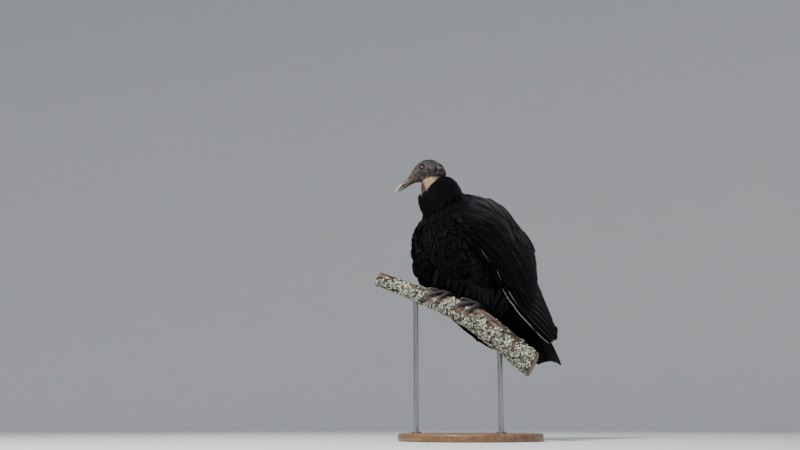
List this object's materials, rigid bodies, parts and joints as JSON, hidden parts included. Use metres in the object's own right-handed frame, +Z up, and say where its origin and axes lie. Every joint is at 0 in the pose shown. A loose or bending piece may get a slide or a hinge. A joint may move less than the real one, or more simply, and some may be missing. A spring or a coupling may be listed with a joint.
{
  "type": "black vulture",
  "caption": "Adult black vulture, life size, wings folded and head turned in profile, perched on a cut branch held up by a plain display stand.",
  "frame": {"origin": "middle of the display base's underside", "axes": "+Z up; the bird's body faces -Y and its left side is +X; the head is turned to its own right"},
  "size_m": [0.34, 0.4526, 0.6673],
  "materials": {
    "plumage": "soft matte black feathering",
    "bare_skin": "dry wrinkled bare skin, grey brown",
    "horn": "smooth pale horn",
    "scutes": "dry scaled skin, grey",
    "claw_horn": "dark horn, slight shine",
    "eye": "wet dark brown eye",
    "bark": "rough bark with pale lichen",
    "oak": "oiled oak",
    "steel": "satin steel rod"
  },
  "bodies": {
    "root": {"bill_lower": "horn", "bill_upper": "horn", "claw_left_1": "claw_horn", "claw_left_2": "claw_horn", "claw_left_3": "claw_horn", "claw_left_4": "claw_horn", "claw_right_1": "claw_horn", "claw_right_2": "claw_horn", "claw_right_3": "claw_horn", "claw_right_4": "claw_horn", "eye_left": "eye", "eye_right": "eye", "foot_left": "scutes", "foot_right": "scutes", "head": "bare_skin", "neck": "plumage", "perch": "bark", "primaries_left": "plumage", "primaries_right": "plumage", "stand_base": "oak", "stand_rod_1": "steel", "stand_rod_2": "steel", "tail": "plumage", "tarsus_left": "scutes", "tarsus_right": "scutes", "thigh_left": "plumage", "thigh_right": "plumage", "trunk": "plumage", "wing_left": "plumage", "wing_right": "plumage"}
  },
  "joints": []
}
